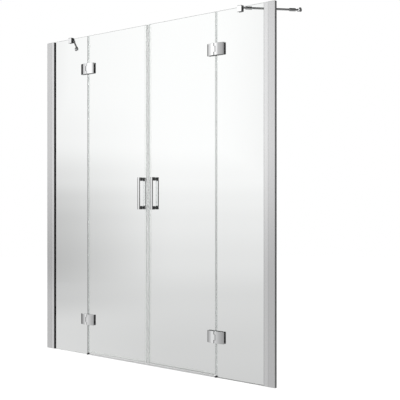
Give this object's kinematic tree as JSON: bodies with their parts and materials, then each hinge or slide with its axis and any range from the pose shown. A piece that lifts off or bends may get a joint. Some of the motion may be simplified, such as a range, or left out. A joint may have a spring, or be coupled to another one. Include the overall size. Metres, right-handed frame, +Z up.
{
  "type": "hinged shower door for a niche",
  "caption": "Frameless niche shower door: two glass doors on glass-to-glass hinges between fixed panes, with pull handles, seals and stabiliser arms.",
  "frame": {"origin": "underside of the threshold bar on the tray rim, midway along the door, in the middle of the glass thickness", "axes": "+X along the door to the right seen from outside, +Y into the shower, +Z up"},
  "size_m": [1.782, 0.2883, 2.012],
  "materials": {
    "aluminium": "satin anodised",
    "chrome": "polished",
    "steel": "ground",
    "glass": "clear, toughened",
    "seal": "clear soft PVC",
    "gasket": "matt black",
    "cap": "matt grey",
    "dark_plastic": "matt",
    "magnet": "pale magnetic strip"
  },
  "bodies": {
    "frame": {"threshold_bar": "aluminium", "wall_channel_left": "aluminium", "glazing_profile_left": "aluminium", "glazing_gasket_left": "gasket", "profile_cap_left": "cap", "fixed_pane_left": "glass", "base_strip_left": "seal", "threshold_end_cap_left": "dark_plastic", "arm_clamp_left": "chrome", "hinge_fixed_leaf_lower_left": "chrome", "hinge_fixed_plate_lower_left": "chrome", "hinge_pin_lower_left": "steel", "hinge_fixed_leaf_upper_left": "chrome", "hinge_fixed_plate_upper_left": "chrome", "hinge_pin_upper_left": "steel", "wall_channel_right": "aluminium", "glazing_profile_right": "aluminium", "glazing_gasket_right": "gasket", "profile_cap_right": "cap", "fixed_pane_right": "glass", "base_strip_right": "seal", "threshold_end_cap_right": "dark_plastic", "arm_clamp_right": "chrome", "hinge_fixed_leaf_lower_right": "chrome", "hinge_fixed_plate_lower_right": "chrome", "hinge_pin_lower_right": "steel", "hinge_fixed_leaf_upper_right": "chrome", "hinge_fixed_plate_upper_right": "chrome", "hinge_pin_upper_right": "steel"},
    "door_left": {"door_pane_left": "glass", "hinge_door_leaf_lower_left": "chrome", "hinge_door_plate_lower_left": "chrome", "hinge_door_leaf_upper_left": "chrome", "hinge_door_plate_upper_left": "chrome", "closing_seal_left": "seal", "magnet_strip_left": "magnet", "hinge_seal_left": "seal", "drip_seal_left": "seal", "handle_outer_left": "chrome", "handle_inner_left": "chrome"},
    "arm_left": {"arm_glass_socket_left": "chrome", "arm_wall_socket_left": "chrome", "arm_rod_left": "chrome"},
    "arm_flange_left": {"arm_wall_flange_left": "chrome"},
    "door_right": {"door_pane_right": "glass", "hinge_door_leaf_lower_right": "chrome", "hinge_door_plate_lower_right": "chrome", "hinge_door_leaf_upper_right": "chrome", "hinge_door_plate_upper_right": "chrome", "closing_seal_right": "seal", "magnet_strip_right": "magnet", "hinge_seal_right": "seal", "drip_seal_right": "seal", "handle_outer_right": "chrome", "handle_inner_right": "chrome"},
    "arm_right": {"arm_glass_socket_right": "chrome", "arm_wall_socket_right": "chrome", "arm_rod_right": "chrome"},
    "arm_flange_right": {"arm_wall_flange_right": "chrome"}
  },
  "joints": [
    {"name": "door_swing_left", "type": "hinge", "parent": "frame", "child": "door_left", "pos_m": [-0.5067, -0.0136, 1.008], "axis": [0, 0, -1], "range_deg": [0, 90]},
    {"name": "arm_swivel_left", "type": "hinge", "parent": "frame", "child": "arm_left", "pos_m": [-0.6675, 0.0208, 2], "axis": [0, 0, -1], "range_deg": [-35, 120]},
    {"name": "arm_flange_swivel_left", "type": "hinge", "parent": "arm_left", "child": "arm_flange_left", "pos_m": [-0.877, 0.24546, 2], "axis": [0, 0, -1], "range_deg": [-30, 120]},
    {"name": "door_swing_right", "type": "hinge", "parent": "frame", "child": "door_right", "pos_m": [0.5067, -0.0136, 1.008], "axis": [0, 0, 1], "range_deg": [0, 90]},
    {"name": "arm_swivel_right", "type": "hinge", "parent": "frame", "child": "arm_right", "pos_m": [0.6675, 0.0208, 2], "axis": [0, 0, 1], "range_deg": [-35, 120]},
    {"name": "arm_flange_swivel_right", "type": "hinge", "parent": "arm_right", "child": "arm_flange_right", "pos_m": [0.877, 0.24546, 2], "axis": [0, 0, 1], "range_deg": [-30, 120]}
  ]
}
